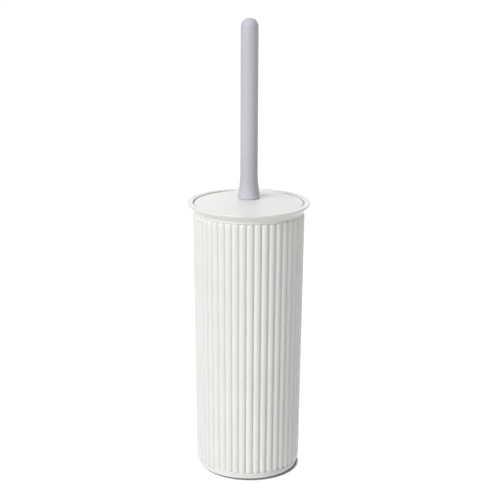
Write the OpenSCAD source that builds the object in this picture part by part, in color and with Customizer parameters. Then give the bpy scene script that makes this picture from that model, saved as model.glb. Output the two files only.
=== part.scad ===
// Toilet brush in a ribbed pot. Millimetres, +Z up.
// The origin is on the axis, on the surface that the pads stand on. -Y is the front.

/* [Pot] */
// Height of the rim's inner edge
rim_z = 235.9; // [200:0.1:300]
// Outer radius of the lip
lip_r = 52; // [50:0.1:56]
// Radius over the ribs at their top end
rib_top_r = 47.4; // [47.3:0.05:47.7]
// Radius over the ribs at their bottom end
rib_low_r = 44.85; // [44.7:0.05:45.6]
// Number of ribs
rib_count = 46; // [30:1:60]
// Depth of the grooves between the ribs
rib_depth = 2; // [1:0.1:2.1]
// Height of the smooth foot band
foot_h = 5; // [4:0.5:8]
// Wall thickness behind the grooves
pot_wall = 1.9; // [1.7:0.1:2.1]

/* [Drip cup] */
// Clearance between the cup and the pot
cup_gap = 0.5; // [0.4:0.1:0.8]
// Wall thickness of the cup
cup_wall = 1.4; // [1:0.1:1.6]

/* [Lid] */
// Radius of the lid
lid_r = 46.6; // [46.5:0.1:46.9]
// Height of the crown above the lid's edge
lid_crown = 4.5; // [2:0.5:6]
// Thickness of the lid
lid_wall = 2.4; // [2:0.1:3]

/* [Handle] */
// Overall height of the set
total_h = 390; // [360:1:430]
// Radius of the handle
grip_r = 7.4; // [7.1:0.1:9]
// Radius of the handle's flared foot
grip_foot_r = 9.6; // [9:0.1:11]
// Height of the flare
flare_h = 23.5; // [15:0.5:30]

/* [Brush] */
// Radius over the bristles
bristle_r = 36; // [30:0.5:36]
// Tufts in each ring
ring_tufts = 10; // [8:1:10]
// Distance between the rings
ring_pitch = 7.2; // [7.2:0.1:7.6]
// Radius of the hub
hub_r = 11.5; // [11:0.1:13]

/* [Hidden] */

white = [0.93, 0.925, 0.915];
grey = [0.80, 0.80, 0.835];
facets = 96;

// Pot levels and radii
pad_lift = 0.4;                     // the pads stand this far out of the base
pad_r = 5;
pad_t = 2;
pad_circle_r = 34;
rib_top_z = rim_z - 8.3;
neck_top_z = rim_z - 6.4;
seat_z = rim_z - 4.7;               // ledge that carries the cup
recess_r = 47.4;                    // bore of the recess that the lid drops into
neck_r = rib_top_r - 0.3;
foot_r = rib_low_r - rib_depth + 0.35;
foot_edge_r = 1.5;
lip_edge_r = 0.55;
lip_z = rim_z - lip_edge_r;         // height of the lip's outermost point
floor_t = 2.4;
floor_z = pad_lift + floor_t;
rib_draft = (rib_top_r - rib_low_r) / (rib_top_z - foot_h);
rib_end_h = 3.2;                    // length of each rib's domed end
rib_steps = 6;                      // points across one rib
rib_turn = 1.9;                     // the front rib's angle from the front

// Radius over the ribs, extended along the draft to any height
function crest_r(z) = rib_low_r + rib_draft * (z - foot_h);
function bore_r(z) = crest_r(z) - rib_depth - pot_wall;

// Rounded section of a rib: 0 in the groove, 1 on the crest, for t from -1 to 1
function rib_section(t) = pow(max(0, 1 - t * t), 0.6);
// Radius of the ribbed skin at t across a rib. Both ends of a rib are domed like its section
function rib_r(t, z) = let (s = max(0, 1 - min(z - foot_h, rib_top_z - z) / rib_end_h))
    crest_r(z) - rib_depth * (1 - rib_section(min(1, norm([t, s]))));

// Lid and cup levels
cup_flange_t = 1.2;
cup_flange_r = 46.7;
cup_top_z = seat_z + cup_flange_t;
cup_floor_z = floor_z + 0.6;
lid_edge_z = rim_z - 0.9;
lid_low_z = cup_top_z + 0.35;
lid_top_z = lid_edge_z + lid_crown;
crown_r = (lid_r * lid_r + lid_crown * lid_crown) / (2 * lid_crown);
crown_z = lid_top_z - crown_r;      // centre of the crown's sphere
lid_edge_r = 1.6;                   // the rounded edge is tangent to the crown
lid_edge_mid_z = crown_z + sqrt(pow(crown_r - lid_edge_r, 2) - pow(lid_r - lid_edge_r, 2));
lid_edge_meet_r = (lid_r - lid_edge_r) * crown_r / (crown_r - lid_edge_r);
boss_r = 9;
boss_low_z = seat_z - 0.25;
seal_in_r = 43.4;
seal_out_r = 45;
seal_h = 1.5;

// Handle and stem levels
handle_gap = 0.1;                   // running gap over and under the lid
running_gap = 0.05;                 // radial gap of the lid's bore on the stem
grip_low_z = lid_top_z + handle_gap;
flare_r = (flare_h * flare_h) / (2 * (grip_foot_r - grip_r));
dome_r = 7;
stem_r = 5;
rod_r = 3;
socket_depth = 15;
rod_top_z = total_h - 18;
washer_t = 1;
washer_top_z = boss_low_z - handle_gap;
clip_t = 0.8;
clip_top_z = washer_top_z - washer_t;
clip_groove_r = 4.4;

// Brush head levels
ring_count = 10;
hub_low_z = 22;
first_ring_z = hub_low_z + 8;
hub_top_z = first_ring_z + (ring_count - 1) * ring_pitch + 6;
hub_neck_h = 9;
stem_socket = 10;
sleeve_low_z = hub_top_z + hub_neck_h - stem_socket;
insert_h = 24;
insert_low_z = sleeve_low_z - insert_h;
tuft_r = 1.6;
tuft_end_r = 4.4;
tuft_depth = 4.5;
anchor_t = 0.4;
anchor_h = 1.5;
tip_length = 15;
tip_circle_r = 6.5;
tip_tilt = 38;

// The lowest rings lean downwards to round off the head
function ring_tilt(i) = i == 0 ? -24 : i == 1 ? -10 : 0;
function ring_z(i) = first_ring_z + i * ring_pitch;
function ring_turn(i) = (i % 2) * 180 / ring_tufts;

// ---------- pot ----------

// Solid body between the foot band and the neck, with its ribs
module ribbed_skin() {
    around = rib_count * rib_steps;
    ends = [for (s = [0, 0.1, 0.3, 0.6, 1]) s * rib_end_h];
    levels = concat([foot_h - 1], [for (d = ends) foot_h + d],
                    [for (k = [len(ends) - 1 : -1 : 0]) rib_top_z - ends[k]], [rib_top_z + 1]);
    points = [for (z = levels) for (k = [0 : around - 1])
        let (t = (k % rib_steps) / rib_steps * 2 - 1,
             a = rib_turn - 90 + (k - rib_steps / 2) * 360 / around,
             r = rib_r(t, z))
        [r * cos(a), r * sin(a), z]];
    last = len(levels) - 1;
    sides = [for (j = [0 : last - 1]) for (k = [0 : around - 1])
        let (a = j * around + k, b = j * around + (k + 1) % around)
        each [[a, a + around, b + around], [a, b + around, b]]];
    low = [for (k = [0 : around - 1]) k];
    high = [for (k = [around - 1 : -1 : 0]) last * around + k];
    polyhedron(points, concat(sides, [low, high]));
}

module foot_and_rim_profile() {
    // foot band with a rounded lower edge
    translate([0, pad_lift + foot_edge_r]) square([foot_r, foot_h - pad_lift - foot_edge_r]);
    square_low = foot_r - 0.1 - foot_edge_r;
    translate([0, pad_lift]) square([square_low, foot_h - pad_lift]);
    translate([square_low, pad_lift + foot_edge_r]) circle(foot_edge_r);
    // neck, flank and top of the rim
    polygon([[0, rib_top_z], [neck_r - 0.1, rib_top_z], [neck_r, neck_top_z],
             [lip_r - lip_edge_r * 1.5, lip_z - lip_edge_r * 0.85], [lip_r - lip_edge_r, lip_z],
             [lip_r - lip_edge_r * 0.8, lip_z + lip_edge_r * 0.97], [recess_r + 0.4, rim_z],
             [0, rim_z]]);
    translate([lip_r - lip_edge_r, lip_z]) circle(lip_edge_r);
}

module pot_bore_profile() {
    polygon([[0, floor_z], [bore_r(floor_z), floor_z], [bore_r(seat_z), seat_z], [recess_r, seat_z],
             [recess_r, rim_z - 0.3], [recess_r + 0.3, rim_z], [recess_r + 0.3, rim_z + 1],
             [0, rim_z + 1]]);
}

module pad_places() {
    for (a = [0 : 90 : 270]) rotate(a) translate([pad_circle_r, 0, 0]) children();
}

module ribbed_pot() {
    color(white) difference() {
        union() {
            ribbed_skin();
            rotate_extrude($fn = facets) foot_and_rim_profile();
        }
        rotate_extrude($fn = facets) pot_bore_profile();
        pad_places() cylinder(r = pad_r, h = pad_t, $fn = 48);
    }
}

module base_pads() {
    color("dimgray") pad_places() cylinder(r = pad_r, h = pad_t, $fn = 48);
}

// ---------- drip cup ----------

module drip_cup() {
    outer = cup_gap;
    inner = cup_gap + cup_wall;
    low_z = cup_floor_z;
    color([0.86, 0.87, 0.88]) rotate_extrude($fn = facets) polygon([
        [0, low_z], [bore_r(low_z) - outer, low_z], [bore_r(seat_z) - outer, seat_z],
        [cup_flange_r, seat_z], [cup_flange_r, cup_top_z], [bore_r(seat_z) - inner, cup_top_z],
        [bore_r(low_z) - inner, low_z + cup_wall], [0, low_z + cup_wall]]);
}

// ---------- lid ----------

module lid_profile() {
    intersection() {
        translate([0, crown_z]) circle(crown_r, $fn = 360);
        union() {
            translate([0, lid_low_z]) square([lid_r, lid_edge_mid_z - lid_low_z]);
            translate([0, lid_low_z]) square([lid_edge_meet_r, lid_crown + 4]);
            intersection() {
                translate([lid_r - lid_edge_r, lid_edge_mid_z]) circle(lid_edge_r, $fn = 48);
                translate([0, lid_edge_mid_z - 0.1]) square([lid_r + 1, lid_edge_r + 1]);
            }
        }
    }
    translate([0, boss_low_z]) square([boss_r, lid_top_z - boss_low_z - 1]);
}

module lid_hollow_profile() {
    intersection() {
        translate([0, crown_z - lid_wall]) circle(crown_r, $fn = 360);
        translate([boss_r, lid_low_z - 1]) square([seal_in_r - 2 - boss_r, lid_crown + 5]);
    }
}

module lid_disc() {
    color(white) rotate_extrude($fn = facets) difference() {
        lid_profile();
        lid_hollow_profile();
        translate([-1, 0]) square([stem_r + running_gap + 1, total_h]);
        translate([seal_in_r, cup_top_z]) square([seal_out_r - seal_in_r, seal_h]);
    }
}

module lid_seal() {
    color("lightgray") rotate_extrude($fn = facets)
        translate([seal_in_r, cup_top_z]) square([seal_out_r - seal_in_r, seal_h]);
}

// ---------- handle and stem ----------

module grip_profile() {
    dome_z = total_h - dome_r;
    difference() {
        translate([0, grip_low_z]) square([grip_foot_r, flare_h]);
        translate([grip_r + flare_r, grip_low_z + flare_h]) circle(flare_r, $fn = 360);
    }
    translate([0, grip_low_z + flare_h - 1]) square([grip_r, dome_z - grip_low_z - flare_h + 1]);
    translate([0, dome_z]) square([grip_r - dome_r, dome_r]);
    intersection() {
        translate([grip_r - dome_r, dome_z]) circle(dome_r);
        translate([0, dome_z - 1]) square([grip_r, dome_r + 1]);
    }
}

module handle_grip() {
    color(grey) difference() {
        rotate_extrude($fn = facets) grip_profile();
        translate([0, 0, grip_low_z - 1]) cylinder(r = stem_r, h = socket_depth + 1, $fn = 64);
        cylinder(r = rod_r, h = rod_top_z, $fn = 48);
    }
}

module core_rod() {
    color("silver") translate([0, 0, insert_low_z])
        cylinder(r = rod_r, h = rod_top_z - insert_low_z, $fn = 48);
}

module stem_sleeve() {
    color(white) difference() {
        translate([0, 0, sleeve_low_z])
            cylinder(r = stem_r, h = grip_low_z + socket_depth - sleeve_low_z, $fn = 64);
        cylinder(r = rod_r, h = total_h, $fn = 48);
        translate([0, 0, clip_top_z - clip_t]) difference() {
            cylinder(r = stem_r + 1, h = clip_t, $fn = 64);
            translate([0, 0, -1]) cylinder(r = clip_groove_r, h = clip_t + 2, $fn = 64);
        }
    }
}

module thrust_washer() {
    color("gainsboro") translate([0, 0, clip_top_z]) difference() {
        cylinder(r = boss_r - 0.5, h = washer_t, $fn = 64);
        translate([0, 0, -1]) cylinder(r = stem_r + running_gap, h = washer_t + 2, $fn = 64);
    }
}

module retaining_clip() {
    color("silver") translate([0, 0, clip_top_z - clip_t]) difference() {
        cylinder(r = boss_r - 2, h = clip_t, $fn = 64);
        translate([0, 0, -1]) cylinder(r = clip_groove_r, h = clip_t + 2, $fn = 64);
        translate([0, -clip_groove_r * 0.8, -1]) cube([boss_r, clip_groove_r * 1.6, clip_t + 2]);
    }
}

// ---------- brush head ----------

// Puts children at the hub's surface of ring i, their +Z pointing out along each tuft
module ring_places(i) {
    for (k = [0 : ring_tufts - 1]) rotate(k * 360 / ring_tufts + ring_turn(i))
        translate([hub_r, 0, ring_z(i)]) rotate([0, 90 - ring_tilt(i), 0]) children();
}

// Puts children at the hub's lower face, their +Z pointing out along each tip tuft
module tip_places() {
    translate([0, 0, hub_low_z]) rotate([180, 0, 0]) children();
    for (a = [0 : 60 : 300]) rotate(a)
        translate([tip_circle_r, 0, hub_low_z]) rotate([0, 180 - tip_tilt, 0]) children();
}

// One tuft: a straight root in its socket, then a bundle that spreads to its end
module tuft(length) {
    translate([0, 0, anchor_h - tuft_depth]) cylinder(r = tuft_r, h = tuft_depth - anchor_h + 1, $fn = 24);
    translate([0, 0, 1]) cylinder(r1 = tuft_r, r2 = tuft_end_r, h = length - 1, $fn = 24);
}

module tuft_socket() {
    translate([0, 0, -tuft_depth]) cylinder(r = tuft_r, h = tuft_depth + 2, $fn = 24);
}

module anchor() {
    translate([-tuft_r * 0.9, -anchor_t / 2, -tuft_depth]) cube([tuft_r * 1.8, anchor_t, anchor_h]);
}

module brush_hub() {
    color(white) difference() {
        union() {
            translate([0, 0, hub_low_z]) cylinder(r = hub_r, h = hub_top_z - hub_low_z, $fn = facets);
            translate([0, 0, hub_top_z])
                cylinder(r1 = hub_r, r2 = stem_r + 2, h = hub_neck_h, $fn = facets);
        }
        translate([0, 0, insert_low_z])
            cylinder(r = stem_r, h = insert_h + stem_socket + 1, $fn = 64);
        for (i = [0 : ring_count - 1]) ring_places(i) tuft_socket();
        tip_places() tuft_socket();
    }
}

module hub_insert() {
    color("goldenrod") translate([0, 0, insert_low_z]) difference() {
        cylinder(r = stem_r, h = insert_h, $fn = 64);
        translate([0, 0, -1]) cylinder(r = rod_r, h = insert_h + 2, $fn = 48);
    }
}

module bristle_row(n) {
    color("whitesmoke") ring_places(n - 1) tuft((bristle_r - hub_r) / cos(ring_tilt(n - 1)) - 1);
}

module tip_tufts() {
    color("whitesmoke") tip_places() tuft(tip_length);
}

module tuft_anchors() {
    color("silver") {
        for (i = [0 : ring_count - 1]) ring_places(i) anchor();
        tip_places() anchor();
    }
}

ribbed_pot();
base_pads();
drip_cup();
lid_disc();
lid_seal();
handle_grip();
core_rod();
stem_sleeve();
thrust_washer();
retaining_clip();
brush_hub();
hub_insert();
bristle_row(1);  // bristle_row_1
bristle_row(2);  // bristle_row_2
bristle_row(3);  // bristle_row_3
bristle_row(4);  // bristle_row_4
bristle_row(5);  // bristle_row_5
bristle_row(6);  // bristle_row_6
bristle_row(7);  // bristle_row_7
bristle_row(8);  // bristle_row_8
bristle_row(9);  // bristle_row_9
bristle_row(10);  // bristle_row_10
tip_tufts();
tuft_anchors();
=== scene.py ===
"""Looks of the toilet brush in its ribbed pot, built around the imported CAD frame.

Lengths are in millimetres until a mesh is made, and z is the height above the floor. The studio's
lengths are in metres.
"""

import math
import random

import bpy
from mathutils import Matrix, Vector


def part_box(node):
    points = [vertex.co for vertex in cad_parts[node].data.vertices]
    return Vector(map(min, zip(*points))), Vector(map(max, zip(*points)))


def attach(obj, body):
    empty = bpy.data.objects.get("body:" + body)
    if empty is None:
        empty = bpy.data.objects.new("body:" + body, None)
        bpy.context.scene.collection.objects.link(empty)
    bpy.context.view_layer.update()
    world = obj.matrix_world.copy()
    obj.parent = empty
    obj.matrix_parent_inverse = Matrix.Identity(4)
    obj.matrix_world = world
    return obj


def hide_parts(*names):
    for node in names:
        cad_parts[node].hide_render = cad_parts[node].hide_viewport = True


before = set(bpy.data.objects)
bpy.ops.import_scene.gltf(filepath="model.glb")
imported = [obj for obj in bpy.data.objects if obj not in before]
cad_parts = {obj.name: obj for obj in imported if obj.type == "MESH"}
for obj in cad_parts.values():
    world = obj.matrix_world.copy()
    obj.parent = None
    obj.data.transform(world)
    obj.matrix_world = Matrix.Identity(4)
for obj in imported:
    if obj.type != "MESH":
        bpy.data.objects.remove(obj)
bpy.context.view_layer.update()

MM = 0.001
TINY = 1e-6


def high(node):
    """Highest corner of a CAD node, in millimetres."""
    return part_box(node)[1] / MM


def low(node):
    """Lowest corner of a CAD node, in millimetres."""
    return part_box(node)[0] / MM


# ---------- sizes, from the frame or as in the CAD model ----------

# EDGE and BLEND name the radii of rounded corners, and GAP a clearance.

# pot
LIP_R = high("ribbed_pot").x
RIM_Z = high("ribbed_pot").z
BASE_Z = low("ribbed_pot").z
RIB_COUNT = 46
RIB_DEPTH = 2.0
RIB_TURN = 1.9
RIB_TOP_R = 47.4
RIB_LOW_R = 44.85
RIB_LOW_Z = 5.0
RIB_TOP_Z = RIM_Z - 8.3
RIB_END = 3.2
FOOT_R = RIB_LOW_R - RIB_DEPTH + 0.35
FOOT_EDGE = 1.5
BAND_TAPER = 0.1
NECK_R = RIB_TOP_R - 0.3
NECK_TOP_Z = RIM_Z - 6.4
SEAT_Z = RIM_Z - 4.7
RECESS_R = 47.4
LIP_LOW_Z = RIM_Z - 1.25
FLOOR_Z = BASE_Z + 2.4
POT_WALL = 1.9
NECK_BLEND = 1.2
LIP_EDGE = 0.3
RIM_EDGE = 0.4
RECESS_EDGE = 0.2
SEAT_EDGE = 0.4
FLOOR_EDGE = 2.5

# cup
CUP_LOW_Z = low("drip_cup").z
CUP_TOP_Z = high("drip_cup").z
CUP_FLANGE_R = high("drip_cup").x
CUP_GAP = 0.5
CUP_WALL = 1.4
CUP_FOOT_EDGE = 3.0
CUP_FLOOR_EDGE = 2.2
CUP_FLANGE_EDGE = 0.3
CUP_RIM_EDGE = 0.5
CUP_MOUTH_EDGE = 0.7

# lid
LID_R = high("lid_disc").x
LID_TOP_Z = high("lid_disc").z
LID_BOSS_Z = low("lid_disc").z
LID_EDGE_Z = RIM_Z - 0.9
LID_LOW_Z = CUP_TOP_Z + 0.35
LID_WALL = 2.4
LID_EDGE = 1.6
CROWN_INSET = 2.2
LID_LOW_EDGE = 0.3
LID_GAP = 0.05
BOSS_R = 9.0
BOSS_EDGE = 0.4
SEAL_IN_R = 43.4
SEAL_OUT_R = high("lid_seal").x
SEAL_TOP_Z = high("lid_seal").z
SEAL_WALL = 2.0
SEAL_GAP = 0.02
SEAL_LOW_EDGE = 0.3
SEAL_TOP_EDGE = 0.1

# handle and stem
GRIP_LOW_Z = low("handle_grip").z
GRIP_FOOT_R = high("handle_grip").x
GRIP_FOOT_H = 0.6
GRIP_FOOT_EDGE = 0.35
GRIP_FOOT_TAPER = 0.1
GRIP_R = 7.4
GRIP_TOP_Z = high("handle_grip").z
FLARE_H = 23.5
DOME_R = 7.0
STEM_R = high("stem_sleeve").x
STEM_LOW_Z = low("stem_sleeve").z
STEM_TOP_Z = high("stem_sleeve").z
STEM_EDGE = 0.3
ROD_R = high("core_rod").x
ROD_TOP_Z = high("core_rod").z
CLIP_LOW_Z = low("retaining_clip").z
CLIP_TOP_Z = high("retaining_clip").z
CLIP_GROOVE_R = 4.4
CLIP_GROOVE_EDGE = 0.1

# brush head
HUB_R = high("brush_hub").x
HUB_LOW_Z = low("brush_hub").z
RING_TUFTS = 10
RING_PITCH = 7.2
RING_COUNT = 10
FIRST_RING_Z = HUB_LOW_Z + 8
LOW_RING_TILTS = (-24, -10)
BRISTLE_R = 36.0
TUFT_ROOT_R = 1.6
TUFT_END_R = 4.4
TUFT_SINK = 3.0
TUFT_TRIM = 1.0
TIP_TUFTS = 6
TIP_LENGTH = 15.0
TIP_CIRCLE_R = 6.5
TIP_TILT = 38.0

# base pads
PAD_COUNT = 4
PAD_R = 5.0
PAD_LOW_EDGE = 0.25
PAD_TOP_EDGE = 0.2
PAD_TOP_Z = high("base_pads").z
PAD_CIRCLE_R = 34.0


# ---------- mesh making ----------


def rounded(corners, step=9.0):
    """Outline (r, z) through corners (r, z, radius), each one replaced by an arc of its radius.

    An arc gets a point at least every step degrees.
    """
    outline = []
    for i, (r, z, radius) in enumerate(corners):
        here = Vector((r, z))
        if radius <= 0 or i in (0, len(corners) - 1):
            outline.append((r, z))
            continue
        back = (Vector(corners[i - 1][:2]) - here).normalized()
        ahead = (Vector(corners[i + 1][:2]) - here).normalized()
        half = back.angle(ahead) / 2
        centre = here + (back + ahead).normalized() * radius / math.sin(half)
        start = here + back * radius / math.tan(half) - centre
        turn = start.angle_signed(here + ahead * radius / math.tan(half) - centre)
        steps = max(2, math.ceil(abs(math.degrees(turn)) / step))
        for k in range(steps + 1):
            point = centre + Matrix.Rotation(-turn * k / steps, 2) @ start
            outline.append((point.x, point.y))
    return outline


def make_mesh(name, points, faces, sharp=32.0):
    """Mesh object from points in millimetres, smooth up to the sharp angle in degrees."""
    mesh = bpy.data.meshes.new(name)
    mesh.from_pydata([tuple(c * MM for c in p) for p in points], [], faces)
    mesh.update()
    mesh.shade_smooth()
    mesh.set_sharp_from_angle(angle=math.radians(sharp))
    piece = bpy.data.objects.new(name, mesh)
    bpy.context.scene.collection.objects.link(piece)
    return piece


def turned(outline, around, closed=False, radius_at=None, turn=0.0):
    """Points and faces of an outline turned about the axis. Ends on the axis become poles.

    radius_at(k, r, z) may change the radius at column k, and turn is where column 0 stands, in
    degrees from the front.
    """
    points = []
    rows = []
    for r, z in outline:
        if r < TINY:
            rows.append([len(points)])
            points.append((0.0, 0.0, z))
            continue
        rows.append(list(range(len(points), len(points) + around)))
        for k in range(around):
            angle = 2 * math.pi * k / around - math.pi / 2 + math.radians(turn)
            radius = radius_at(k, r, z) if radius_at else r
            points.append((radius * math.cos(angle), radius * math.sin(angle), z))
    faces = []
    pairs = list(zip(rows, rows[1:]))
    if closed:
        pairs.append((rows[-1], rows[0]))
    for below, above in pairs:
        for k in range(around):
            after = (k + 1) % around
            if len(below) == 1 and len(above) > 1:
                faces.append((below[0], above[after], above[k]))
            elif len(above) == 1 and len(below) > 1:
                faces.append((below[k], below[after], above[0]))
            elif len(below) > 1:
                faces.append((below[k], below[after], above[after], above[k]))
    return points, faces


def lathe(name, outline, around=160, closed=False):
    """Solid of revolution. The outline runs outwards along the bottom and back over the top."""
    return make_mesh(name, *turned(outline, around, closed))


def finish_piece(piece, body, slot, material, *nodes):
    """Gives a piece its material and its body, and hides the CAD nodes that it stands for. The
    slot is not used.
    """
    piece.data.materials.clear()
    piece.data.materials.append(material)
    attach(piece, body)
    if nodes:
        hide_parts(*nodes)


# ---------- materials ----------

# The parts of the noise's range that values and tones are spread over
NOISE_RANGE = (0.3, 0.7)
TINT_RANGE = (0.35, 0.65)


def new_material(name):
    """A material, with its node tree, its Principled shader and its object coordinates."""
    material = bpy.data.materials.new(name)
    material.use_nodes = True
    tree = material.node_tree
    shader = tree.nodes["Principled BSDF"]
    place = tree.nodes.new("ShaderNodeTexCoord")
    return material, tree, shader, place.outputs["Object"]


def noise(tree, place, scale, detail=3.0, stretch=(1, 1, 1)):
    """Noise over the object's own coordinates. Scale is in cells per metre."""
    mapping = tree.nodes.new("ShaderNodeMapping")
    mapping.inputs["Scale"].default_value = stretch
    tree.links.new(place, mapping.inputs["Vector"])
    texture = tree.nodes.new("ShaderNodeTexNoise")
    texture.inputs["Scale"].default_value = scale
    texture.inputs["Detail"].default_value = detail
    tree.links.new(mapping.outputs["Vector"], texture.inputs["Vector"])
    return texture.outputs["Fac"]


def spread(tree, factor, lowest, highest):
    """Maps noise to a range of values."""
    node = tree.nodes.new("ShaderNodeMapRange")
    node.inputs["From Min"].default_value = NOISE_RANGE[0]
    node.inputs["From Max"].default_value = NOISE_RANGE[1]
    node.inputs["To Min"].default_value = lowest
    node.inputs["To Max"].default_value = highest
    tree.links.new(factor, node.inputs["Value"])
    return node.outputs["Result"]


def tint(tree, factor, dark, light):
    """Colour that varies between two tones."""
    ramp = tree.nodes.new("ShaderNodeValToRGB")
    ramp.color_ramp.elements[0].position = TINT_RANGE[0]
    ramp.color_ramp.elements[0].color = (*dark, 1)
    ramp.color_ramp.elements[1].position = TINT_RANGE[1]
    ramp.color_ramp.elements[1].color = (*light, 1)
    tree.links.new(factor, ramp.inputs["Fac"])
    return ramp.outputs["Color"]


def bump(tree, shader, heights):
    """Stacks bumps on the shader's normal. Heights are (factor, depth in millimetres)."""
    normal = None
    for factor, depth in heights:
        node = tree.nodes.new("ShaderNodeBump")
        node.inputs["Strength"].default_value = 1.0
        node.inputs["Distance"].default_value = depth * MM
        tree.links.new(factor, node.inputs["Height"])
        if normal:
            tree.links.new(normal, node.inputs["Normal"])
        normal = node.outputs["Normal"]
    tree.links.new(normal, shader.inputs["Normal"])


def moulded_plastic(name, colour, rough=(0.36, 0.46), grain=0.006, gloss=0.5):
    """Injection-moulded plastic: a fine spark-eroded grain over a faint long swell."""
    material, tree, shader, place = new_material(name)
    clouds = noise(tree, place, scale=28, detail=4)
    dark = [c * 0.988 for c in colour]
    light = [min(1, c * 1.012) for c in colour]
    tree.links.new(tint(tree, clouds, dark, light), shader.inputs["Base Color"])
    patches = noise(tree, place, scale=90, detail=3)
    tree.links.new(spread(tree, patches, *rough), shader.inputs["Roughness"])
    swell = noise(tree, place, scale=45, detail=2)
    pits = noise(tree, place, scale=2600, detail=2)
    bump(tree, shader, [(swell, 0.005), (pits, grain)])
    shader.inputs["IOR"].default_value = 1.48
    shader.inputs["Specular IOR Level"].default_value = gloss
    return material


def metal(name, colour, rough, stretch):
    """Metal with fine drawn or turned lines along one direction."""
    material, tree, shader, place = new_material(name)
    lines = noise(tree, place, scale=900, detail=4, stretch=stretch)
    dark = [c * 0.86 for c in colour]
    tree.links.new(tint(tree, lines, dark, colour), shader.inputs["Base Color"])
    tree.links.new(spread(tree, lines, *rough), shader.inputs["Roughness"])
    bump(tree, shader, [(lines, 0.004)])
    shader.inputs["Metallic"].default_value = 1.0
    return material


def soft_rubber(name, colour):
    """Matte elastomer with a dusty bloom."""
    material, tree, shader, place = new_material(name)
    bloom = noise(tree, place, scale=160, detail=5)
    light = [min(1, c * 1.25 + 0.01) for c in colour]
    tree.links.new(tint(tree, bloom, colour, light), shader.inputs["Base Color"])
    rough = spread(tree, bloom, lowest=0.7, highest=0.88)
    tree.links.new(rough, shader.inputs["Roughness"])
    bump(tree, shader, [(noise(tree, place, scale=3200, detail=3), 0.02)])
    return material


def filament(name, colour):
    """Extruded filaments with fine lengthwise streaks."""
    material, tree, shader, place = new_material(name)
    streaks = noise(tree, place, scale=700, detail=3)
    dark = [c * 0.93 for c in colour]
    tree.links.new(tint(tree, streaks, dark, colour), shader.inputs["Base Color"])
    rough = spread(tree, streaks, lowest=0.3, highest=0.5)
    tree.links.new(rough, shader.inputs["Roughness"])
    bump(tree, shader, [(streaks, 0.01)])
    return material


POT_WHITE = moulded_plastic("pot_white", (0.80, 0.793, 0.777), rough=(0.40, 0.5))
LID_WHITE = moulded_plastic(
    "lid_white", (0.795, 0.788, 0.77), rough=(0.42, 0.52), grain=0.008
)
CUP_WHITE = moulded_plastic("cup_white", (0.70, 0.71, 0.72), rough=(0.3, 0.4))
STEM_WHITE = moulded_plastic("stem_white", (0.78, 0.78, 0.77), rough=(0.32, 0.42))
WASHER_WHITE = moulded_plastic("washer_white", (0.70, 0.70, 0.68), rough=(0.35, 0.45))
HANDLE_GREY = moulded_plastic(
    "handle_grey", (0.54, 0.542, 0.592), rough=(0.36, 0.44), grain=0.008, gloss=0.2
)
PAD_RUBBER = soft_rubber("pad_rubber", (0.05, 0.05, 0.052))
SEAL_RUBBER = soft_rubber("seal_rubber", (0.55, 0.55, 0.55))
ROD_STEEL = metal("rod_steel", (0.62, 0.62, 0.63), (0.22, 0.4), (1, 1, 0.04))
CLIP_STEEL = metal("clip_steel", (0.58, 0.58, 0.6), (0.25, 0.42), (1, 0.2, 1))
ANCHOR_STEEL = metal("anchor_steel", (0.6, 0.6, 0.6), (0.3, 0.45), (1, 1, 0.2))
BRASS = metal("insert_brass", (0.72, 0.5, 0.2), (0.25, 0.4), (0.2, 0.2, 3))
BRISTLE_WHITE = filament("bristle_white", (0.93, 0.93, 0.91))


# ---------- pot ----------

# Columns across a rib, rows in its rounded end, and rows between the ends
RIB_STEPS = 14
RIB_LEVELS = 12
MID_LEVELS = 12
# Height between a rib's last row and the plain row beside it
ROW_GAP = 0.05
# Exponent of the rib's section: 0.5 is a half ellipse
RIB_FULLNESS = 0.55
# Share of a rib's end where the groove starts to run out, and the groove's height at the very end
RUN_OUT_START = 0.8
RUN_OUT_HEIGHT = 0.75
# Rows inside this radius lie under the foot or in the bore
INNER_R = RIB_LOW_R - RIB_DEPTH - 0.5
PAD_SIDES = 48


def rib_section(x):
    """Half-round section of a rib: 1 on the crest, 0 at the groove, for x from 0 to 1."""
    return math.pow(max(0.0, 1 - x * x), RIB_FULLNESS)


def crest_r(z):
    """Radius over the ribs, which follow the pot's draft."""
    return RIB_LOW_R + (RIB_TOP_R - RIB_LOW_R) * (z - RIB_LOW_Z) / (RIB_TOP_Z - RIB_LOW_Z)


def bore_r(z):
    """Inner radius of the pot."""
    return crest_r(z) - RIB_DEPTH - POT_WALL


def ribbed_r(k, r, z):
    """Radius at column k: a row between the rib ends follows the ribs, any other row is round."""
    inside = min(z - RIB_LOW_Z, RIB_TOP_Z - z)
    if inside < -TINY or r < INNER_R:
        return r
    across = ((k + RIB_STEPS / 2) % RIB_STEPS) / RIB_STEPS * 2 - 1
    along = max(0.0, 1 - inside / RIB_END)
    height = rib_section(min(1.0, math.hypot(across, along)))
    run_out = max(0.0, (along - RUN_OUT_START) / (1 - RUN_OUT_START))
    height = max(height, RUN_OUT_HEIGHT * run_out * run_out * (3 - 2 * run_out))
    return crest_r(z) - RIB_DEPTH * (1 - height)


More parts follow.
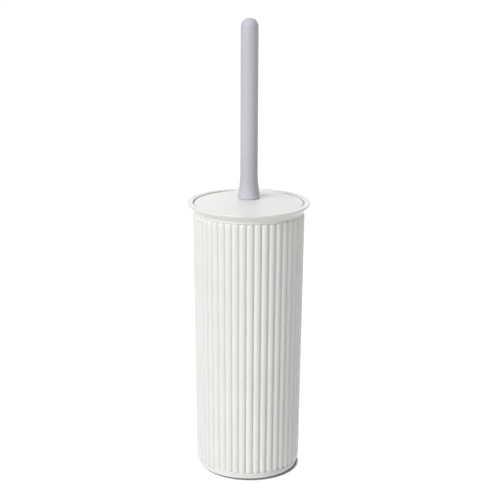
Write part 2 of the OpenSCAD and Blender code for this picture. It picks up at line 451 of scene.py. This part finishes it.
def pot_outline():
    """Outline of the pot from the base's middle, up the outside, and down the bore."""
    foot = rounded(
        [
            (0, BASE_Z, 0),
            (FOOT_R - BAND_TAPER, BASE_Z, FOOT_EDGE),
            (FOOT_R, RIB_LOW_Z - ROW_GAP, 0),
        ]
    )
    ends = [RIB_END * (1 - math.cos(math.pi / 2 * k / RIB_LEVELS)) for k in range(RIB_LEVELS + 1)]
    span = RIB_TOP_Z - RIB_LOW_Z - 2 * RIB_END
    levels = [RIB_LOW_Z + e for e in ends]
    levels += [RIB_LOW_Z + RIB_END + span * k / MID_LEVELS for k in range(1, MID_LEVELS)]
    levels += [RIB_TOP_Z - e for e in reversed(ends)]
    ribs = [(crest_r(z), z) for z in levels]
    seat_r = bore_r(SEAT_Z)
    rim = rounded(
        [
            (NECK_R - BAND_TAPER, RIB_TOP_Z + ROW_GAP, 0),
            (NECK_R, NECK_TOP_Z, NECK_BLEND),
            (LIP_R, LIP_LOW_Z, LIP_EDGE),
            (LIP_R, RIM_Z, LIP_EDGE),
            (RECESS_R, RIM_Z, RIM_EDGE),
            (RECESS_R, SEAT_Z, RECESS_EDGE),
            (seat_r, SEAT_Z, SEAT_EDGE),
            (bore_r(FLOOR_Z), FLOOR_Z, FLOOR_EDGE),
            (0, FLOOR_Z, 0),
        ]
    )
    return foot + ribs + rim


def make_pot():
    """The ribbed pot and its four pads."""
    around = RIB_COUNT * RIB_STEPS
    shell = turned(pot_outline(), around, radius_at=ribbed_r, turn=RIB_TURN)
    pot = make_mesh("pot_shell", *shell, sharp=60)
    finish_piece(pot, "pot", "pot_plastic", POT_WHITE, "ribbed_pot")

    pad_outline = rounded(
        [
            (0, 0, 0),
            (PAD_R, 0, PAD_LOW_EDGE),
            (PAD_R, PAD_TOP_Z, PAD_TOP_EDGE),
            (0, PAD_TOP_Z, 0),
        ]
    )
    points, faces = turned(pad_outline, PAD_SIDES)
    all_points = []
    all_faces = []
    for i in range(PAD_COUNT):
        spin = Matrix.Rotation(i * 2 * math.pi / PAD_COUNT, 3, "Z")
        start = len(all_points)
        all_points += [spin @ Vector((x + PAD_CIRCLE_R, y, z)) for x, y, z in points]
        all_faces += [[start + corner for corner in face] for face in faces]
    pads = make_mesh("pads", all_points, all_faces)
    finish_piece(pads, "pot", "pad_rubber", PAD_RUBBER, "base_pads")


# ---------- cup ----------


def make_cup():
    """The removable cup, which hangs by its flange."""
    outer_low = bore_r(CUP_LOW_Z) - CUP_GAP
    outer_top = bore_r(SEAT_Z) - CUP_GAP
    outline = rounded(
        [
            (0, CUP_LOW_Z, 0),
            (outer_low, CUP_LOW_Z, CUP_FOOT_EDGE),
            (outer_top, SEAT_Z, CUP_FLANGE_EDGE),
            (CUP_FLANGE_R, SEAT_Z, CUP_FLANGE_EDGE),
            (CUP_FLANGE_R, CUP_TOP_Z, CUP_RIM_EDGE),
            (outer_top - CUP_WALL, CUP_TOP_Z, CUP_MOUTH_EDGE),
            (outer_low - CUP_WALL, CUP_LOW_Z + CUP_WALL, CUP_FLOOR_EDGE),
            (0, CUP_LOW_Z + CUP_WALL, 0),
        ]
    )
    cup = lathe("cup_shell", outline)
    finish_piece(cup, "cup", "cup_plastic", CUP_WHITE, "drip_cup")


# ---------- lid ----------

CROWN_STEPS = 40
UNDER_STEPS = 20


def crown_z(r, top_z):
    """Height of the lid's shallow spherical crown at a radius."""
    rise = LID_TOP_Z - LID_EDGE_Z
    sphere_r = (LID_R * LID_R + rise * rise) / (2 * rise)
    return top_z - sphere_r + math.sqrt(sphere_r * sphere_r - r * r)


def crown_row(start_r, end_r, top_z, steps):
    """Points (r, z) along the crown from one radius to another."""
    radii = [start_r + (end_r - start_r) * k / steps for k in range(steps + 1)]
    return [(r, crown_z(r, top_z)) for r in radii]


def make_lid():
    """The crowned lid with its boss, and the seal in its underside."""
    bore = STEM_R + LID_GAP
    hollow_r = SEAL_IN_R - SEAL_WALL
    crown = crown_row(LID_R - CROWN_INSET, bore, LID_TOP_Z, CROWN_STEPS)
    under = crown_row(BOSS_R, hollow_r, LID_TOP_Z - LID_WALL, UNDER_STEPS)
    skirt = rounded(
        [
            (hollow_r, under[-1][1], 0),
            (hollow_r, LID_LOW_Z, LID_LOW_EDGE),
            (SEAL_IN_R, LID_LOW_Z, 0),
            (SEAL_IN_R, SEAL_TOP_Z, 0),
            (SEAL_OUT_R, SEAL_TOP_Z, 0),
            (SEAL_OUT_R, LID_LOW_Z, 0),
            (LID_R, LID_LOW_Z, LID_LOW_EDGE),
            (LID_R, crown_z(LID_R, LID_TOP_Z), LID_EDGE),
            crown[0] + (0,),
        ]
    )
    boss = rounded(
        [
            (bore, LID_BOSS_Z, 0),
            (BOSS_R, LID_BOSS_Z, BOSS_EDGE),
            (BOSS_R, under[0][1], 0),
        ]
    )
    lid = lathe("lid_plate", boss + under[1:-1] + skirt + crown[1:], around=256, closed=True)
    finish_piece(lid, "lid", "lid_plastic", LID_WHITE, "lid_disc")

    middle = (SEAL_IN_R + SEAL_OUT_R) / 2
    seal = lathe(
        "lid_seal_ring",
        rounded(
            [
                (middle, CUP_TOP_Z, 0),
                (SEAL_OUT_R - SEAL_GAP, CUP_TOP_Z, SEAL_LOW_EDGE),
                (SEAL_OUT_R - SEAL_GAP, SEAL_TOP_Z, SEAL_TOP_EDGE),
                (SEAL_IN_R + SEAL_GAP, SEAL_TOP_Z, SEAL_TOP_EDGE),
                (SEAL_IN_R + SEAL_GAP, CUP_TOP_Z, SEAL_LOW_EDGE),
                (middle, CUP_TOP_Z, 0),
            ]
        )[:-1],
        closed=True,
    )
    finish_piece(seal, "lid", "seal_rubber", SEAL_RUBBER, "lid_seal")


# ---------- handle and stem ----------

FLARE_STEPS = 24
GRIP_STEPS = 12
DOME_STEPS = 18


def make_handle():
    """The slim handle: flared foot, straight grip and domed top."""
    flare_r = FLARE_H * FLARE_H / (2 * (GRIP_FOOT_R - GRIP_R))
    flare_top = GRIP_LOW_Z + FLARE_H
    foot = rounded(
        [
            (0, ROD_TOP_Z, 0),
            (ROD_R, ROD_TOP_Z, 0),
            (ROD_R, STEM_TOP_Z, 0),
            (STEM_R, STEM_TOP_Z, 0),
            (STEM_R, GRIP_LOW_Z, 0),
            (GRIP_FOOT_R, GRIP_LOW_Z, GRIP_FOOT_EDGE),
            (GRIP_FOOT_R - GRIP_FOOT_TAPER, GRIP_LOW_Z + GRIP_FOOT_H, 0),
        ]
    )
    flare = []
    for k in range(1, FLARE_STEPS + 1):
        z = GRIP_LOW_Z + GRIP_FOOT_H + (FLARE_H - GRIP_FOOT_H) * k / FLARE_STEPS
        sink = flare_top - z
        flare.append((GRIP_R + flare_r - math.sqrt(flare_r * flare_r - sink * sink), z))
    dome_z = GRIP_TOP_Z - DOME_R
    dome = [
        (GRIP_R - DOME_R + DOME_R * math.cos(a), dome_z + DOME_R * math.sin(a))
        for a in (math.pi / 2 * k / DOME_STEPS for k in range(DOME_STEPS + 1))
    ]
    grip = [
        (GRIP_R, flare_top + (dome_z - flare_top) * k / GRIP_STEPS)
        for k in range(1, GRIP_STEPS)
    ]
    handle = lathe("handle", foot + flare + grip + dome + [(0, GRIP_TOP_Z)], around=128)
    finish_piece(handle, "brush", "handle_plastic", HANDLE_GREY, "handle_grip")


def make_stem():
    """The plastic tube between the handle and the head, with the clip's groove."""
    outline = rounded(
        [
            (ROD_R, STEM_LOW_Z, 0),
            (STEM_R, STEM_LOW_Z, STEM_EDGE),
            (STEM_R, CLIP_LOW_Z, CLIP_GROOVE_EDGE),
            (CLIP_GROOVE_R, CLIP_LOW_Z, 0),
            (CLIP_GROOVE_R, CLIP_TOP_Z, 0),
            (STEM_R, CLIP_TOP_Z, CLIP_GROOVE_EDGE),
            (STEM_R, STEM_TOP_Z, STEM_EDGE),
            (ROD_R, STEM_TOP_Z, 0),
        ]
    )
    stem = lathe("stem", outline, around=96, closed=True)
    finish_piece(stem, "brush", "stem_plastic", STEM_WHITE, "stem_sleeve")


# ---------- bristles ----------

STRANDS = 56
STRAND_R = 0.19
STRAND_SIDES = 3
STRAND_SEGMENTS = 4
# Radii of the circles that the strands' middles fill, at a tuft's root and at its end
PACKED_R = TUFT_ROOT_R - STRAND_R - 0.05
FANNED_R = TUFT_END_R - 0.4
# Share of the fan that comes late, most sideways wander, and the shortest strand's length
LATE_FAN = 0.35
WANDER = 0.5
SHORTEST = 0.95
RING_SEED = 100
TIP_SEED = 99


def strand(points, faces, path, radius, spin):
    """Adds one three-sided filament along a path of points."""
    start = len(points)
    along = (path[-1] - path[0]).normalized()
    side = along.orthogonal().normalized()
    other = along.cross(side)
    for centre in path:
        for corner in range(STRAND_SIDES):
            angle = spin + corner * 2 * math.pi / STRAND_SIDES
            points.append(centre + (side * math.cos(angle) + other * math.sin(angle)) * radius)
    for ring in range(len(path) - 1):
        low_row = start + ring * STRAND_SIDES
        top_row = low_row + STRAND_SIDES
        for corner in range(STRAND_SIDES):
            after = (corner + 1) % STRAND_SIDES
            faces.append((low_row + corner, low_row + after, top_row + after, top_row + corner))
    faces.append((start + 2, start + 1, start))
    end = start + (len(path) - 1) * STRAND_SIDES
    faces.append((end, end + 1, end + 2))


def tuft(points, faces, place, length, rng):
    """Adds one tuft: filaments packed in the socket that fan out to the end."""
    for _ in range(STRANDS):
        reach = math.sqrt(rng.random())
        angle = rng.uniform(0, 2 * math.pi)
        aim = Vector((math.cos(angle), math.sin(angle), 0)) * reach
        wander = Vector((rng.uniform(-WANDER, WANDER), rng.uniform(-WANDER, WANDER), 0))
        top = length * rng.uniform(SHORTEST, 1.0)
        path = []
        for k in range(STRAND_SEGMENTS + 1):
            t = k / STRAND_SEGMENTS
            fan = t * t * LATE_FAN + t * (1 - LATE_FAN)
            reach_r = PACKED_R + (FANNED_R - PACKED_R) * fan
            out = aim * reach_r + wander * math.sin(math.pi * t) * t
            path.append(place @ (out + Vector((0, 0, -TUFT_SINK + (top + TUFT_SINK) * t))))
        strand(points, faces, path, STRAND_R, angle)


def ring_tilt(i):
    """Lean of ring i's tufts from level, in degrees. Only the lowest rings lean."""
    return LOW_RING_TILTS[i] if i < len(LOW_RING_TILTS) else 0


def ring_places(i):
    """Places of ring i's tufts: +Z points out of the hub along each one."""
    z = FIRST_RING_Z + i * RING_PITCH
    for k in range(RING_TUFTS):
        turn = math.radians(k * 360 / RING_TUFTS + (i % 2) * 180 / RING_TUFTS)
        yield (
            Matrix.Rotation(turn, 4, "Z")
            @ Matrix.Translation((HUB_R, 0, z))
            @ Matrix.Rotation(math.radians(90 - ring_tilt(i)), 4, "Y")
        )


def tip_places():
    """Places of the tufts in the hub's lower face."""
    yield Matrix.Translation((0, 0, HUB_LOW_Z)) @ Matrix.Rotation(math.pi, 4, "X")
    for k in range(TIP_TUFTS):
        yield (
            Matrix.Rotation(math.radians(360 / TIP_TUFTS * k), 4, "Z")
            @ Matrix.Translation((TIP_CIRCLE_R, 0, HUB_LOW_Z))
            @ Matrix.Rotation(math.radians(180 - TIP_TILT), 4, "Y")
        )


def tufted(name, places, length, seed, node):
    """One piece of bristles, with a tuft at each place."""
    rng = random.Random(seed)
    points = []
    faces = []
    for place in places:
        tuft(points, faces, place, length, rng)
    piece = make_mesh(name, points, faces, sharp=180)
    finish_piece(piece, "brush", "bristle", BRISTLE_WHITE, node)


def make_bristles():
    """One piece per ring of tufts, and one for the lower end."""
    for i in range(RING_COUNT):
        length = (BRISTLE_R - HUB_R) / math.cos(math.radians(ring_tilt(i))) - TUFT_TRIM
        seed = RING_SEED + i
        tufted(f"bristles_{i + 1}", ring_places(i), length, seed, f"bristle_row_{i + 1}")
    tufted("bristles_tip", tip_places(), TIP_LENGTH, TIP_SEED, "tip_tufts")


# ---------- carried-over CAD pieces ----------


def dress_cad():
    """Gives the CAD nodes that stay visible their materials."""
    looks = {
        "core_rod": ROD_STEEL,
        "thrust_washer": WASHER_WHITE,
        "retaining_clip": CLIP_STEEL,
        "brush_hub": STEM_WHITE,
        "hub_insert": BRASS,
        "tuft_anchors": ANCHOR_STEEL,
    }
    for node, material in looks.items():
        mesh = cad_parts[node].data
        mesh.materials.clear()
        mesh.materials.append(material)


# ---------- studio, in metres ----------

FLOOR_R = 2.0
FLOOR_SIDES = 128
FLOOR_GLOW = 0.95
# Low glow inside the painted contact shadow round the foot
FLOOR_GLOW_IN_SHADOW = 0.02
# The glow is dimmed close round the foot to paint a contact shadow: it rises from near the foot
# to full between these radii, about a middle that is shifted towards the front right, where the
# painted shadow is widest
SHADOW_R = (0.0412, 0.0443)
SHADOW_SHIFT = (0.0019, -0.0021, 0)

# Soft suns, two on the front left and a weaker one on the front right: azimuth and height in
# degrees, and strength
KEYS = ((-35, 31, 1.35), (-57, 30, 1.46), (35, 30, 0.76))
KEY_SPREAD = 40  # degrees across

# Soft patches of the surround, behind, above and below: direction, strength, and the cosines
# where each one starts and is full
SURROUND = (
    ((-0.6, 0.8, 0.1), 0.17, 0.6, 0.9),
    ((0, 1, 0.1), 1.17, 0.6, 0.9),
    ((0.6, 0.8, 0.1), 0.56, 0.6, 0.9),
    ((0, 0, 1), 1.0, 0.8, 0.98),
    ((0, 0, -1), 1.0, 0.1, 0.6),
)
# Strength of the white that the camera sees
BACKDROP = 1.05

# Lens and sensor in millimetres, pitch and roll in degrees
CAMERA_LENS = 96.75
CAMERA_SENSOR = 36
CAMERA_PLACE = (0.0012, -1.108, 0.4975)
CAMERA_PITCH = 15.35
CAMERA_ROLL = 0.3


def make_floor():
    """A large disc of paper that glows evenly white, except close round the foot, where the glow
    is dimmed into a painted contact shadow.
    """
    ring = [2 * math.pi * k / FLOOR_SIDES for k in range(FLOOR_SIDES)]
    mesh = bpy.data.meshes.new("floor")
    corners = [(FLOOR_R * math.cos(a), FLOOR_R * math.sin(a), 0) for a in ring]
    mesh.from_pydata(corners, [], [tuple(range(FLOOR_SIDES))])
    floor = bpy.data.objects.new("floor", mesh)
    bpy.context.scene.collection.objects.link(floor)
    material, tree, shader, place = new_material("floor_paper")
    clouds = noise(tree, place, scale=6, detail=2)
    paper = tint(tree, clouds, dark=(0.14, 0.14, 0.14), light=(0.16, 0.16, 0.16))
    tree.links.new(paper, shader.inputs["Base Color"])
    shader.inputs["Roughness"].default_value = 0.9
    shader.inputs["Specular IOR Level"].default_value = 0.0
    shader.inputs["Emission Color"].default_value = (1, 1, 1, 1)
    away = tree.nodes.new("ShaderNodeVectorMath")
    away.operation = "DISTANCE"
    away.inputs[1].default_value = SHADOW_SHIFT
    tree.links.new(place, away.inputs[0])
    # Painted contact shadow: the emission falls from full to the low glow close round the shifted
    # middle near the foot
    glow = tree.nodes.new("ShaderNodeMapRange")
    glow.interpolation_type = "SMOOTHSTEP"
    glow.inputs["From Min"].default_value = SHADOW_R[0]
    glow.inputs["From Max"].default_value = SHADOW_R[1]
    glow.inputs["To Min"].default_value = FLOOR_GLOW_IN_SHADOW
    glow.inputs["To Max"].default_value = FLOOR_GLOW
    tree.links.new(away.outputs["Value"], glow.inputs["Value"])
    tree.links.new(glow.outputs["Result"], shader.inputs["Emission Strength"])
    mesh.materials.append(material)
    floor.visible_diffuse = False
    floor.visible_glossy = False
    floor.visible_shadow = False


def make_surround():
    """White to the camera. As light it is a few broad soft patches."""
    world = bpy.data.worlds.new("surround")
    bpy.context.scene.world = world
    world.use_nodes = True
    tree = world.node_tree
    tree.nodes.clear()
    place = tree.nodes.new("ShaderNodeTexCoord")
    total = None
    for direction, strength, start, full in SURROUND:
        aim = tree.nodes.new("ShaderNodeVectorMath")
        aim.operation = "DOT_PRODUCT"
        aim.inputs[1].default_value = Vector(direction).normalized()
        tree.links.new(place.outputs["Generated"], aim.inputs[0])
        patch = tree.nodes.new("ShaderNodeMapRange")
        patch.interpolation_type = "SMOOTHSTEP"
        patch.inputs["From Min"].default_value = start
        patch.inputs["From Max"].default_value = full
        patch.inputs["To Max"].default_value = strength
        tree.links.new(aim.outputs["Value"], patch.inputs["Value"])
        if total is None:
            total = patch.outputs["Result"]
            continue
        both = tree.nodes.new("ShaderNodeMath")
        tree.links.new(total, both.inputs[0])
        tree.links.new(patch.outputs["Result"], both.inputs[1])
        total = both.outputs["Value"]
    light = tree.nodes.new("ShaderNodeBackground")
    light.inputs["Color"].default_value = (1, 1, 1, 1)
    tree.links.new(total, light.inputs["Strength"])
    white = tree.nodes.new("ShaderNodeBackground")
    white.inputs["Color"].default_value = (1, 1, 1, 1)
    white.inputs["Strength"].default_value = BACKDROP
    rays = tree.nodes.new("ShaderNodeLightPath")
    mix = tree.nodes.new("ShaderNodeMixShader")
    tree.links.new(rays.outputs["Is Camera Ray"], mix.inputs["Fac"])
    tree.links.new(light.outputs["Background"], mix.inputs[1])
    tree.links.new(white.outputs["Background"], mix.inputs[2])
    output = tree.nodes.new("ShaderNodeOutputWorld")
    tree.links.new(mix.outputs["Shader"], output.inputs["Surface"])


def make_keys():
    """The soft suns."""
    for i, (azimuth, height, strength) in enumerate(KEYS):
        sun = bpy.data.lights.new(f"key_{i}", "SUN")
        sun.energy = strength
        sun.angle = math.radians(KEY_SPREAD)
        key = bpy.data.objects.new(f"key_{i}", sun)
        side = math.radians(azimuth)
        up = math.radians(height)
        level = math.cos(up)
        aim = Vector((math.sin(side) * level, -math.cos(side) * level, math.sin(up)))
        key.rotation_euler = aim.to_track_quat("Z", "Y").to_euler()
        bpy.context.scene.collection.objects.link(key)


def make_camera():
    """Camera in front of the set, a little above the handle's top and looking down."""
    data = bpy.data.cameras.new("camera")
    data.sensor_width = CAMERA_SENSOR
    data.lens = CAMERA_LENS
    camera = bpy.data.objects.new("camera", data)
    pitch = math.radians(CAMERA_PITCH)
    roll = math.radians(CAMERA_ROLL)
    turn = Matrix.Rotation(math.pi / 2 - pitch, 4, "X") @ Matrix.Rotation(roll, 4, "Z")
    camera.matrix_world = Matrix.Translation(CAMERA_PLACE) @ turn
    bpy.context.scene.collection.objects.link(camera)
    bpy.context.scene.camera = camera


make_pot()
make_cup()
make_lid()
make_handle()
make_stem()
make_bristles()
dress_cad()
make_floor()
make_surround()
make_keys()
make_camera()
bpy.context.scene.view_settings.view_transform = "Standard"
